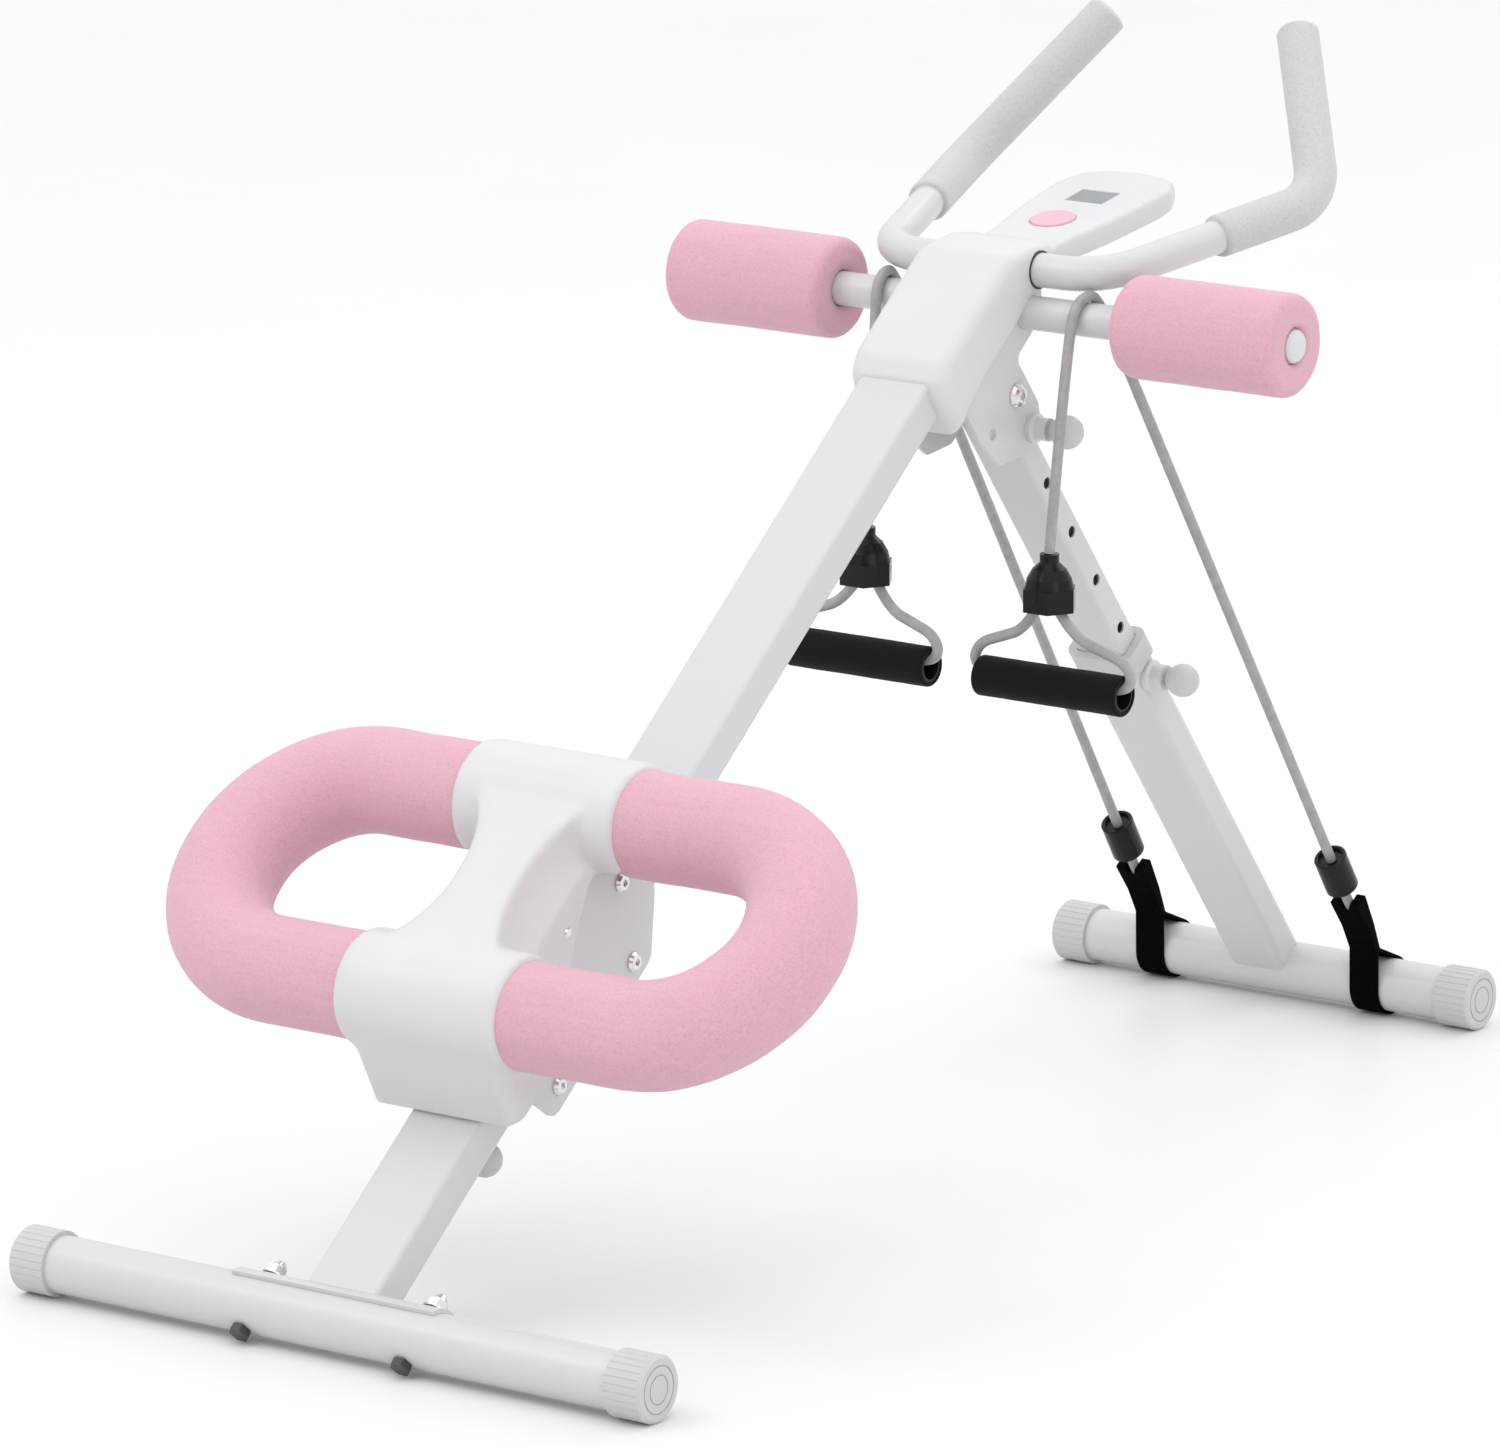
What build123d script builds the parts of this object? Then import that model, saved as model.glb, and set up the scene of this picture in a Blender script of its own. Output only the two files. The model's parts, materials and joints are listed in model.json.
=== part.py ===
from build123d import *
import os
from math import cos, radians, sin, tan

os.makedirs("parts", exist_ok=True)

# Driving dimensions, in millimetres and degrees.
# The origin is on the floor, midway between the two floor tubes. X is to the right of a person
# who kneels on the machine, Y runs from the front foot to the rear foot, and Z is up.
WHEELBASE = 1182.8
RAIL_ANGLE = 38.42
FLOOR_TUBE_R = 20.5
CAP_R = 23.5
CAP_LENGTH = 30.0
FRONT_HALF = 270.0
REAR_HALF = 190.3
WALL = 1.5
RAIL_WIDTH, RAIL_DEPTH = 60.0, 30.0
RAIL_END = 980.0
SADDLE_HALF = 86.5
SADDLE_T = 3.0
FOOT_BOLT_X = 69.0
BAR_R = 12.7
CROSS_S, CROSS_H = 973.4, -32.0
CROSS_HALF = 262.0
ROLLER_R = 37.8
ROLLER_IN, ROLLER_OUT = 127.2, 266.3
PLATE_IN, PLATE_T = 31.0, 3.0
PIVOT_H = -71.7
PIVOT_R = 5.0
LOCK_RADIUS = 35.0
PIN_R = 4.0
LEG_WIDTH, LEG_DEPTH = 50.0, 30.0
STEM_WIDTH, STEM_DEPTH = 42.0, 24.0
HOLE_PITCH = 54.0
FIRST_HOLE_H = -170.0
HOLE_COUNT = 5
STEM_END_H = -480.0
COLLAR_TOP_H = -352.0
HANDLEBAR_BENDS = (45.0, 52.0)
GRIP_R = 16.0
ARM_S = (222.0, 394.7)
ARM_H = 76.0
LOOP_STRAIGHT = 150.2
KNEE_FOAM_R = 38.0
KNEE_FOAM_IN = 62.0
WHEEL_R_TOP, WHEEL_R_UNDER = 13.5, 12.0
WHEEL_S_TOP = (210.0, 376.0)
WHEEL_S_UNDER = (238.0, 350.0)
SIDE_PLATE_IN, SIDE_PLATE_T = 34.5, 3.0
CONSOLE_TILT = 10.0
CONSOLE_DEPTH = 20.0
CORD_R = 4.0
GRIP_X, GRIP_Y, GRIP_Z = 84.5, 153.6, 338.0
GRIP_HALF = 62.5
BAND_GRIP_R, BAND_BORE_R = 15.0, 9.5
STRAP_X, STRAP_WIDTH, STRAP_T = 98.0, 25.0, 2.2
CASING_HALF = 42.0
CASING_T = 3.0

# Places that follow from them.
FRONT_Y = -WHEELBASE / 2
REAR_Y = WHEELBASE / 2
SLOPE = radians(RAIL_ANGLE)
RAIL_DIR = Vector(0, cos(SLOPE), sin(SLOPE))
RAIL_UP = Vector(0, -sin(SLOPE), cos(SLOPE))
FRONT_AXIS = Vector(0, FRONT_Y, CAP_R)
LEG_S = WHEELBASE * cos(SLOPE)
REAR_H = -WHEELBASE * sin(SLOPE)
LOWEST_HOLE_H = FIRST_HOLE_H - (HOLE_COUNT - 1) * HOLE_PITCH
LOOP_R = (ARM_S[1] - ARM_S[0]) / 2
LOOP_S = (ARM_S[1] + ARM_S[0]) / 2
RAIL_TOP = RAIL_DEPTH / 2

# SIDE holds (along the rail, above the rail's axis) and faces +X.
# DECK holds (across, along the rail) and faces away from the rail's top.
# END holds (across, above the rail's axis) and faces up the rail.
SIDE = Plane(origin=FRONT_AXIS, x_dir=RAIL_DIR, z_dir=(1, 0, 0))
DECK = Plane(origin=FRONT_AXIS, x_dir=(1, 0, 0), z_dir=RAIL_UP)
END = Plane(origin=FRONT_AXIS, x_dir=(-1, 0, 0), z_dir=RAIL_DIR)


def at(x, s, h):
    """The point x across, s up the rail and h above the rail's axis."""
    return FRONT_AXIS + Vector(x, 0, 0) + RAIL_DIR * s + RAIL_UP * h


def across(x, s, h, facing=1):
    """A plane at a rail point that faces along +X or -X."""
    return Plane(origin=at(x, s, h), x_dir=RAIL_DIR, z_dir=(facing, 0, 0))


def turned(plane, outline):
    """A body turned about the plane's normal from (radius, height) points."""
    half = Plane(origin=plane.origin, x_dir=plane.x_dir, z_dir=plane.x_dir.cross(plane.z_dir))
    with BuildPart() as body:
        with BuildSketch(half):
            with BuildLine():
                Polyline(*outline, close=True)
            make_face()
        revolve(axis=Axis(plane.origin, plane.z_dir))
    return body.part


def hex_block(plane, across_flats, low, high, bore=0.0):
    """A hexagonal prism on the plane, with a bore if one is asked for."""
    with BuildPart() as body:
        with BuildSketch(plane.offset(low)):
            RegularPolygon(radius=across_flats / 2, side_count=6, major_radius=False)
            if bore:
                Circle(bore, mode=Mode.SUBTRACT)
        extrude(amount=high - low)
    return body.part


def keep(builder, name):
    """Label a finished sub-part and write its STEP file."""
    builder.part.label = name
    export_step(builder.part, f"parts/{name}.step")


def group(name, pieces):
    """Write one node that holds several separate solids."""
    with BuildPart() as together:
        add(pieces)
    keep(together, name)


def arc_radii(points):
    """The radius at each inner point of a cord's route, as large as its two runs allow."""
    radii = []
    for before, here, after in zip(points, points[1:], points[2:]):
        run_in = Vector(*here) - Vector(*before)
        run_out = Vector(*after) - Vector(*here)
        half_turn = radians(run_in.get_angle(run_out)) / 2
        radii.append(0.45 * min(run_in.length, run_out.length) / tan(half_turn))
    return radii


def cord(name, points):
    """A cord's tube along straight runs joined by tangent arcs."""
    if len(points) > 2:
        radii = arc_radii(points)
    else:
        radii = []
    with BuildPart() as tube:
        with BuildLine() as path:
            if radii:
                FilletPolyline(*points, radius=radii)
            else:
                Line(*points)
        with BuildSketch(path.line ^ 0):
            Circle(CORD_R)
        sweep()
    keep(tube, name)
    length = path.wire().length
    print(f"{name}: length {length:.1f} mm, radii", [round(r, 1) for r in radii])


# Floor tubes and their end caps.
def floor_tube(y, half_length):
    """A round tube across the machine, coming to just inside its two end caps."""
    tube_plane = Plane(origin=(0, y, CAP_R), x_dir=(0, 1, 0), z_dir=(1, 0, 0))
    with BuildPart() as tube:
        with BuildSketch(tube_plane):
            Circle(FLOOR_TUBE_R)
            Circle(FLOOR_TUBE_R - WALL, mode=Mode.SUBTRACT)
        extrude(amount=half_length - CAP_END, both=True)
    return tube.part


CAP_END = 3.5
CAP_EDGE = 2.0
FLUTES = 28


def end_cap(y, half_length, side):
    """A fluted cap with a socket for the tube and two rings on its end."""
    face = Plane(origin=(side * half_length, y, CAP_R), x_dir=(0, 1, 0), z_dir=(-side, 0, 0))
    half = Plane(origin=face.origin, x_dir=face.x_dir, z_dir=face.x_dir.cross(face.z_dir))
    with BuildPart() as cap:
        with BuildSketch(face):
            Circle(CAP_R)
            with PolarLocations(CAP_R + 0.55, FLUTES):
                Circle(1.1, mode=Mode.SUBTRACT)
        extrude(amount=CAP_LENGTH)
        with BuildSketch(half):
            with BuildLine():
                Polyline((0, 0), (CAP_R - CAP_EDGE, 0), (CAP_R, CAP_EDGE), (CAP_R, CAP_LENGTH),
                         (0, CAP_LENGTH), close=True)
            make_face()
        revolve(axis=Axis(face.origin, face.z_dir), mode=Mode.INTERSECT)
        with BuildSketch(face.offset(CAP_END)):
            Circle(FLOOR_TUBE_R + 0.05)
        extrude(amount=CAP_LENGTH, mode=Mode.SUBTRACT)
        with BuildSketch(face):
            Circle(17)
            Circle(16, mode=Mode.SUBTRACT)
            Circle(10.5)
            Circle(9.5, mode=Mode.SUBTRACT)
        extrude(amount=0.8, mode=Mode.SUBTRACT)
    return cap.part


with BuildPart() as front_floor_tube:
    add(floor_tube(FRONT_Y, FRONT_HALF))
    with BuildSketch(END):
        with Locations((FOOT_BOLT_X, 0), (-FOOT_BOLT_X, 0)):
            Circle(PIN_R + 0.3)
    extrude(amount=FLOOR_TUBE_R + 5, both=True, mode=Mode.SUBTRACT)
keep(front_floor_tube, "front_floor_tube")

group("front_end_caps", [end_cap(FRONT_Y, FRONT_HALF, side) for side in (-1, 1)])

with BuildPart() as rear_floor_tube:
    add(floor_tube(REAR_Y, REAR_HALF))
keep(rear_floor_tube, "rear_floor_tube")

group("rear_end_caps", [end_cap(REAR_Y, REAR_HALF, side) for side in (-1, 1)])

# The saddle plate that carries the rail on the front floor tube, and its bolts.
SADDLE_ARC = 63.5
SADDLE_IN = FLOOR_TUBE_R + 0.1
SADDLE_OUT = SADDLE_IN + SADDLE_T

with BuildPart() as saddle_plate:
    with BuildSketch(SIDE):
        with BuildLine():
            outer = CenterArc((0, 0), SADDLE_OUT, -SADDLE_ARC, 2 * SADDLE_ARC)
            inner = CenterArc((0, 0), SADDLE_IN, -SADDLE_ARC, 2 * SADDLE_ARC)
            Line(outer @ 0, inner @ 0)
            Line(outer @ 1, inner @ 1)
        make_face()
    extrude(amount=SADDLE_HALF, both=True)
    with BuildSketch(END):
        with Locations((FOOT_BOLT_X, 0), (-FOOT_BOLT_X, 0)):
            Circle(PIN_R + 0.3)
    extrude(amount=SADDLE_OUT + 5, mode=Mode.SUBTRACT)
keep(saddle_plate, "saddle_plate")


def foot_bolt(x):
    """A hexagon-headed bolt through the front floor tube, along the rail."""
    seat = Plane(origin=at(x, 0, 0), x_dir=(-1, 0, 0), z_dir=RAIL_DIR)
    with BuildPart() as bolt:
        with BuildSketch(seat.offset(-FLOOR_TUBE_R - 5.8)):
            RegularPolygon(radius=6.5, side_count=6, major_radius=False)
        extrude(amount=5.5)
        with BuildSketch(seat.offset(-FLOOR_TUBE_R - 0.3)):
            Circle(PIN_R)
        extrude(amount=FLOOR_TUBE_R + SADDLE_OUT + 7)
    return bolt.part


def foot_nut(x):
    """A domed cap nut with its washer, seated on the saddle plate."""
    seat = Plane(origin=at(x, SADDLE_OUT, 0), x_dir=(-1, 0, 0), z_dir=RAIL_DIR)
    with BuildPart() as nut:
        add(turned(seat, [(4.4, 0.1), (9.0, 0.1), (9.0, 1.6), (4.4, 1.6)]))
        add(hex_block(seat, 13.0, 1.6, 7.6, 4.05))
        with BuildSketch(seat.offset(7.6)):
            Circle(6.2)
        extrude(amount=0.8)
        with BuildSketch(seat.offset(8.4)):
            Circle(6.2)
        extrude(amount=4.6, taper=32)
    return nut.part


group("foot_bolts", [foot_bolt(x) for x in (-FOOT_BOLT_X, FOOT_BOLT_X)])
group("foot_nuts", [foot_nut(x) for x in (-FOOT_BOLT_X, FOOT_BOLT_X)])

# The main rail: a rectangular tube, coped over the saddle plate.
CARRIAGE_PIN_S = 178.6

with BuildPart() as main_rail:
    with BuildSketch(END.offset(15)):
        RectangleRounded(RAIL_WIDTH, RAIL_DEPTH, 4)
        RectangleRounded(RAIL_WIDTH - 2 * WALL, RAIL_DEPTH - 2 * WALL, 2.5, mode=Mode.SUBTRACT)
    extrude(amount=RAIL_END - 15)
    with BuildSketch(SIDE):
        Circle(SADDLE_OUT + 0.05)
    extrude(amount=RAIL_WIDTH, both=True, mode=Mode.SUBTRACT)
    with BuildSketch(DECK.offset(-RAIL_DEPTH)):
        with Locations((0, CARRIAGE_PIN_S)):
            Circle(PIN_R + 0.5)
    extrude(amount=2 * RAIL_DEPTH, mode=Mode.SUBTRACT)
keep(main_rail, "main_rail")


def pull_pin(seat, tip):
    """A spring-loaded pin with a ball knob. Seat faces the hand, and tip is how far it reaches in."""
    with BuildPart() as pin:
        add(turned(seat, [(0, -tip), (PIN_R - 0.8, -tip), (PIN_R, 1.5 - tip), (PIN_R, 17.5),
                          (7.0, 18.5), (9.0, 25.0), (0, 25.0)]))
        with Locations(Location(seat.origin + seat.z_dir * 30.0)):
            Sphere(12.6)
    return pin.part


def pin_housing(seat, radius):
    """The threaded housing that is welded on and guides a pull pin."""
    return turned(seat, [(PIN_R + 0.2, 0.1), (radius, 0.1), (radius, 4.0), (radius - 2.5, 6.0),
                         (radius - 2.5, 15.5), (PIN_R + 0.2, 15.5)])


# The head bracket: two side plates and a web under the rail.
FOLD_PIN_H = PIVOT_H - LOCK_RADIUS
PLATE_FRONT_S, PLATE_REAR_S = 874.0, 943.5
PLATE_LOW_H = -115.0
BAR_S, BAR_H = 997.3, -11.5

with BuildPart() as head_bracket:
    with BuildSketch(SIDE.offset(PLATE_IN)):
        with BuildLine():
            Polyline((PLATE_FRONT_S, RAIL_TOP - 4), (PLATE_FRONT_S, -66), (PLATE_FRONT_S + 7, -98),
                     (PLATE_FRONT_S + 34, PLATE_LOW_H), (PLATE_REAR_S - 8, PLATE_LOW_H),
                     (PLATE_REAR_S, PLATE_LOW_H + 18), (PLATE_REAR_S, -50), (988, -50),
                     (997, -34), (1000, -27), (1009, -19), (1011, -9),
                     (1002, 0), (990, RAIL_TOP - 4), close=True)
        outline = make_face()
        fillet([v for v in outline.vertices() if v.Z < at(0, PLATE_REAR_S, -90).Z], radius=7)
        with Locations((LEG_S, PIVOT_H)):
            Circle(PIVOT_R + 0.05, mode=Mode.SUBTRACT)
        with Locations((LEG_S, FOLD_PIN_H), (LEG_S - LOCK_RADIUS - 3.5, PIVOT_H)):
            Circle(PIN_R + 0.5, mode=Mode.SUBTRACT)
        with Locations((CROSS_S, CROSS_H), (BAR_S, BAR_H)):
            Circle(BAR_R + 0.1, mode=Mode.SUBTRACT)
    extrude(amount=PLATE_T)
    mirror(about=Plane.YZ)
    with BuildSketch(END.offset(PLATE_FRONT_S)):
        with Locations((0, -RAIL_TOP - 1.6)):
            Rectangle(2 * PLATE_IN + 1, 2.4)
    extrude(amount=80)
keep(head_bracket, "head_bracket")

# The cross tube that carries the foot rollers.
with BuildPart() as cross_tube:
    with BuildSketch(across(0, CROSS_S, CROSS_H)):
        Circle(BAR_R)
        Circle(BAR_R - WALL, mode=Mode.SUBTRACT)
    extrude(amount=CROSS_HALF, both=True)
keep(cross_tube, "cross_tube")

group("cross_tube_plugs", [
    turned(across(side * CROSS_HALF, CROSS_S, CROSS_H, side),
           [(0, -12), (10.8, -12), (10.8, 0.1), (12.2, 0.1), (12.2, 3.2), (10.6, 5.6), (7.5, 7.2), (0, 7.8)])
    for side in (-1, 1)])

for side, name in ((-1, "left_roller_foam"), (1, "right_roller_foam")):
    with BuildPart() as roller_foam:
        with BuildSketch(across(side * ROLLER_IN, CROSS_S, CROSS_H, side)):
            Circle(ROLLER_R)
            Circle(BAR_R + 0.05, mode=Mode.SUBTRACT)
        extrude(amount=ROLLER_OUT - ROLLER_IN)
        fillet(roller_foam.edges().filter_by(GeomType.CIRCLE).group_by(SortBy.RADIUS)[-1], radius=6)
    keep(roller_foam, name)

# Handlebars, in a sleeve across the head bracket.
BAR_Y = at(0, BAR_S, BAR_H).Y
BAR_Z = at(0, BAR_S, BAR_H).Z
HANDLEBAR = [(6.0, BAR_Y, BAR_Z), (96.3, BAR_Y, BAR_Z), (156.2, 395.6, 668.7), (84.8, 477.0, 774.7)]
GRIP_SHARE = 0.52
GRIP_START = Vector(*HANDLEBAR[1]) + (Vector(*HANDLEBAR[2]) - Vector(*HANDLEBAR[1])) * GRIP_SHARE

with BuildPart() as handlebars:
    with BuildLine() as bar_path:
        FilletPolyline(*HANDLEBAR, radius=list(HANDLEBAR_BENDS))
    with BuildSketch(bar_path.line ^ 0):
        Circle(BAR_R)
        Circle(BAR_R - WALL, mode=Mode.SUBTRACT)
    sweep()
    mirror(about=Plane.YZ)
keep(handlebars, "handlebars")

with BuildPart() as handlebar_foams:
    with BuildLine() as grip_path:
        FilletPolyline(GRIP_START, HANDLEBAR[2], HANDLEBAR[3], radius=[HANDLEBAR_BENDS[1]])
    with BuildSketch(grip_path.line ^ 0):
        Circle(GRIP_R)
        Circle(BAR_R + 0.02, mode=Mode.SUBTRACT)
    sweep()
    with BuildSketch(grip_path.line ^ 1):
        Circle(GRIP_R)
    extrude(amount=5)
    mirror(about=Plane.YZ)
keep(handlebar_foams, "handlebar_foams")

with BuildPart() as handlebar_joiner:
    with BuildSketch(across(0, BAR_S, BAR_H)):
        Circle(BAR_R - WALL - 0.1)
        Circle(BAR_R - WALL - 2.1, mode=Mode.SUBTRACT)
    extrude(amount=30, both=True)
keep(handlebar_joiner, "handlebar_joiner")

# The pivot bolt, its nut and the bushes beside the leg.
PIVOT_OUT = PLATE_IN + PLATE_T

with BuildPart() as pivot_bolt:
    with BuildSketch(across(-PIVOT_OUT - 9, LEG_S, PIVOT_H)):
        Circle(PIVOT_R)
    extrude(amount=2 * PIVOT_OUT + 9.2)
    add(turned(across(PIVOT_OUT + 0.1, LEG_S, PIVOT_H),
               [(0, 0), (9.2, 0), (9.2, 1.6), (7.8, 4.2), (5.0, 5.6), (0, 5.9)]))
    with BuildSketch(across(PIVOT_OUT + 2.6, LEG_S, PIVOT_H)):
        RegularPolygon(radius=3.0, side_count=6, major_radius=False)
    extrude(amount=6, mode=Mode.SUBTRACT)
keep(pivot_bolt, "pivot_bolt")

with BuildPart() as pivot_nut:
    add(hex_block(across(-PIVOT_OUT - 0.1, LEG_S, PIVOT_H, -1), 16.0, 0, 8.6, PIVOT_R + 0.02))
keep(pivot_nut, "pivot_nut")

group("pivot_bushes", [
    turned(across(side * STEM_WIDTH / 2, LEG_S, PIVOT_H, side),
           [(PIVOT_R + 0.05, 0.15), (9.5, 0.15), (9.5, PLATE_IN - STEM_WIDTH / 2 - 0.15),
            (PIVOT_R + 0.05, PLATE_IN - STEM_WIDTH / 2 - 0.15)])
    for side in (-1, 1)])

# The two pull pins that stay on the head and the rail.
fold_seat = across(PIVOT_OUT, LEG_S, FOLD_PIN_H)
carriage_seat = Plane(origin=at(0, CARRIAGE_PIN_S, -RAIL_TOP), x_dir=(1, 0, 0), z_dir=-RAIL_UP)

with BuildPart() as fold_pull_pin:
    add(pull_pin(fold_seat, PIVOT_OUT - STEM_WIDTH / 2 - 1.0))
keep(fold_pull_pin, "fold_pull_pin")

with BuildPart() as carriage_pull_pin:
    add(pull_pin(carriage_seat, RAIL_DEPTH - 0.3))
keep(carriage_pull_pin, "carriage_pull_pin")

group("pull_pin_housings", [pin_housing(fold_seat, 11.0), pin_housing(carriage_seat, 11.0)])

# Rubber bumpers under the rail, which stop the carriage's lower wheels at each end.
FRONT_BUMPER_S, REAR_BUMPER_S = 216.8, 752.0

with BuildPart() as carriage_bumpers:
    for s in (FRONT_BUMPER_S, REAR_BUMPER_S):
        with BuildSketch(DECK.offset(-RAIL_TOP - 0.05)):
            with Locations((0, s)):
                RectangleRounded(34, 18, 4)
        extrude(amount=-14)
keep(carriage_bumpers, "carriage_bumpers")

# The leg: an inner stem on the pivot, and an outer tube that slides over it.
with BuildPart() as leg_inner_tube:
    with BuildSketch(DECK.offset(PIVOT_H + 18)):
        with Locations((0, LEG_S)):
            RectangleRounded(STEM_WIDTH, STEM_DEPTH, 4)
            RectangleRounded(STEM_WIDTH - 2 * WALL, STEM_DEPTH - 2 * WALL, 2.5, mode=Mode.SUBTRACT)
    extrude(amount=STEM_END_H - PIVOT_H - 18)
    with BuildSketch(SIDE):
        with Locations((LEG_S, PIVOT_H)):
            Circle(PIVOT_R + 0.05)
        with Locations((LEG_S, FOLD_PIN_H)):
            Circle(PIN_R + 0.5)
        for index in range(HOLE_COUNT):
            with Locations((LEG_S, FIRST_HOLE_H - index * HOLE_PITCH)):
                Circle(PIN_R + 0.5)
    extrude(amount=STEM_WIDTH, both=True, mode=Mode.SUBTRACT)
keep(leg_inner_tube, "leg_inner_tube")

with BuildPart() as leg_outer_tube:
    with BuildSketch(DECK.offset(COLLAR_TOP_H - 12)):
        with Locations((0, LEG_S)):
            RectangleRounded(LEG_WIDTH, LEG_DEPTH, 7)
            RectangleRounded(LEG_WIDTH - 2 * WALL, LEG_DEPTH - 2 * WALL, 5.5, mode=Mode.SUBTRACT)
    extrude(amount=REAR_H - COLLAR_TOP_H + 12)
    with BuildSketch(SIDE):
        with Locations((LEG_S, REAR_H)):
            Circle(FLOOR_TUBE_R + 0.05)
    extrude(amount=LEG_WIDTH, both=True, mode=Mode.SUBTRACT)
    with BuildSketch(across(0, LEG_S, LOWEST_HOLE_H)):
        Circle(PIN_R + 0.5)
    extrude(amount=LEG_WIDTH, mode=Mode.SUBTRACT)
keep(leg_outer_tube, "leg_outer_tube")

with BuildPart() as leg_collar:
    with BuildSketch(DECK.offset(COLLAR_TOP_H)):
        with Locations((0, LEG_S)):
            RectangleRounded(LEG_WIDTH + 6, LEG_DEPTH + 6, 9)
    extrude(amount=-20)
    with BuildSketch(DECK.offset(COLLAR_TOP_H - 12)):
        with Locations((0, LEG_S)):
            RectangleRounded(LEG_WIDTH + 0.2, LEG_DEPTH + 0.2, 7.1)
    extrude(amount=-20, mode=Mode.SUBTRACT)
    with BuildSketch(DECK.offset(COLLAR_TOP_H + 1)):
        with Locations((0, LEG_S)):
            RectangleRounded(STEM_WIDTH + 0.8, STEM_DEPTH + 0.8, 4.2)
    extrude(amount=-40, mode=Mode.SUBTRACT)
keep(leg_collar, "leg_collar")

height_seat = across(LEG_WIDTH / 2, LEG_S, LOWEST_HOLE_H)

with BuildPart() as height_pull_pin:
    add(pull_pin(height_seat, (LEG_WIDTH - STEM_WIDTH) / 2 - 1.0))
keep(height_pull_pin, "height_pull_pin")

with BuildPart() as height_pin_housing:
    add(pin_housing(height_seat, 12.0))
keep(height_pin_housing, "height_pin_housing")

# The carriage: a steel frame on four wheels, with two padded knee loops on top.
SIDE_PLATE_OUT = SIDE_PLATE_IN + SIDE_PLATE_T
TOP_PLATE_H = ARM_H - BAR_R - 3.1
TOP_WHEEL_H = RAIL_TOP + WHEEL_R_TOP
UNDER_WHEEL_H = -RAIL_TOP - WHEEL_R_UNDER
AXLES = [(s, TOP_WHEEL_H) for s in WHEEL_S_TOP] + [(s, UNDER_WHEEL_H) for s in WHEEL_S_UNDER]
AXLE_R = 4.0

with BuildPart() as carriage_frame:
    with BuildSketch(SIDE.offset(SIDE_PLATE_IN)):
        with BuildLine():
            Polyline((196, TOP_PLATE_H + 3), (196, 42), (179, 34), (173, 20), (173, 14), (203, 14), (218, -36),
                     (221, -40), (227, -42), (360, -42), (367, -40), (398, -8), (401, -2),
                     (408, TOP_PLATE_H + 3), close=True)
        make_face()
        with Locations(*AXLES):
            Circle(AXLE_R + 0.05, mode=Mode.SUBTRACT)
    extrude(amount=SIDE_PLATE_T)
    mirror(about=Plane.YZ)
    with BuildSketch(DECK.offset(TOP_PLATE_H)):
        with Locations((0, 302)):
            Rectangle(2 * SIDE_PLATE_IN + 1, 212)
    extrude(amount=3)
    with BuildSketch(DECK.offset(RAIL_TOP + 1.5)):
        with Locations((0, 182)):
            Rectangle(2 * SIDE_PLATE_IN + 1, 18)
        with Locations((0, CARRIAGE_PIN_S)):
            Circle(PIN_R + 0.5, mode=Mode.SUBTRACT)
    extrude(amount=3)
keep(carriage_frame, "carriage_frame")

for name, s, h, radius in (
        ("upper_front_wheel", WHEEL_S_TOP[0], TOP_WHEEL_H, WHEEL_R_TOP),
        ("upper_rear_wheel", WHEEL_S_TOP[1], TOP_WHEEL_H, WHEEL_R_TOP),
        ("lower_front_wheel", WHEEL_S_UNDER[0], UNDER_WHEEL_H, WHEEL_R_UNDER),
        ("lower_rear_wheel", WHEEL_S_UNDER[1], UNDER_WHEEL_H, WHEEL_R_UNDER)):
    rim = radius - 0.05
    with BuildPart() as wheel:
        add(turned(across(0, s, h), [(AXLE_R + 0.05, -27), (rim - 1.5, -27), (rim, -25.5), (rim, 25.5),
                                     (rim - 1.5, 27), (AXLE_R + 0.05, 27)]))
    keep(wheel, name)


def axle_bolt(s, h):
    """A wheel's axle: a button-headed bolt through both side plates."""
    with BuildPart() as bolt:
        with BuildSketch(across(-SIDE_PLATE_OUT - 7, s, h)):
            Circle(AXLE_R)
        extrude(amount=2 * SIDE_PLATE_OUT + 7.2)
        add(turned(across(SIDE_PLATE_OUT + 0.1, s, h), [(0, 0), (7.0, 0), (7.0, 1.2), (5.2, 3.4), (0, 4.0)]))
        with BuildSketch(across(SIDE_PLATE_OUT + 2.0, s, h)):
            RegularPolygon(radius=2.4, side_count=6, major_radius=False)
        extrude(amount=5, mode=Mode.SUBTRACT)
    return bolt.part


group("axle_bolts", [axle_bolt(s, h) for s, h in AXLES])
group("axle_nuts", [hex_block(across(-SIDE_PLATE_OUT - 0.1, s, h, -1), 13.0, 0, 6.4, AXLE_R + 0.02)
                    for s, h in AXLES])

LOOP_PLANE = Plane(origin=at(0, 0, ARM_H), x_dir=(1, 0, 0), z_dir=RAIL_UP)


def loop_tube(start, radius, bore):
    """Half a knee loop: in along one arm, round a half circle and back along the other."""
    with BuildPart() as tube:
        with BuildLine(LOOP_PLANE) as path:
            Line((start, ARM_S[0]), (LOOP_STRAIGHT, ARM_S[0]))
            ThreePointArc((LOOP_STRAIGHT, ARM_S[0]), (LOOP_STRAIGHT + LOOP_R, LOOP_S),
                          (LOOP_STRAIGHT, ARM_S[1]))
            Line((LOOP_STRAIGHT, ARM_S[1]), (start, ARM_S[1]))
        with BuildSketch(across(start, ARM_S[0], ARM_H)):
            Circle(radius)
            Circle(bore, mode=Mode.SUBTRACT)
        sweep()
    return tube.part


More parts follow.
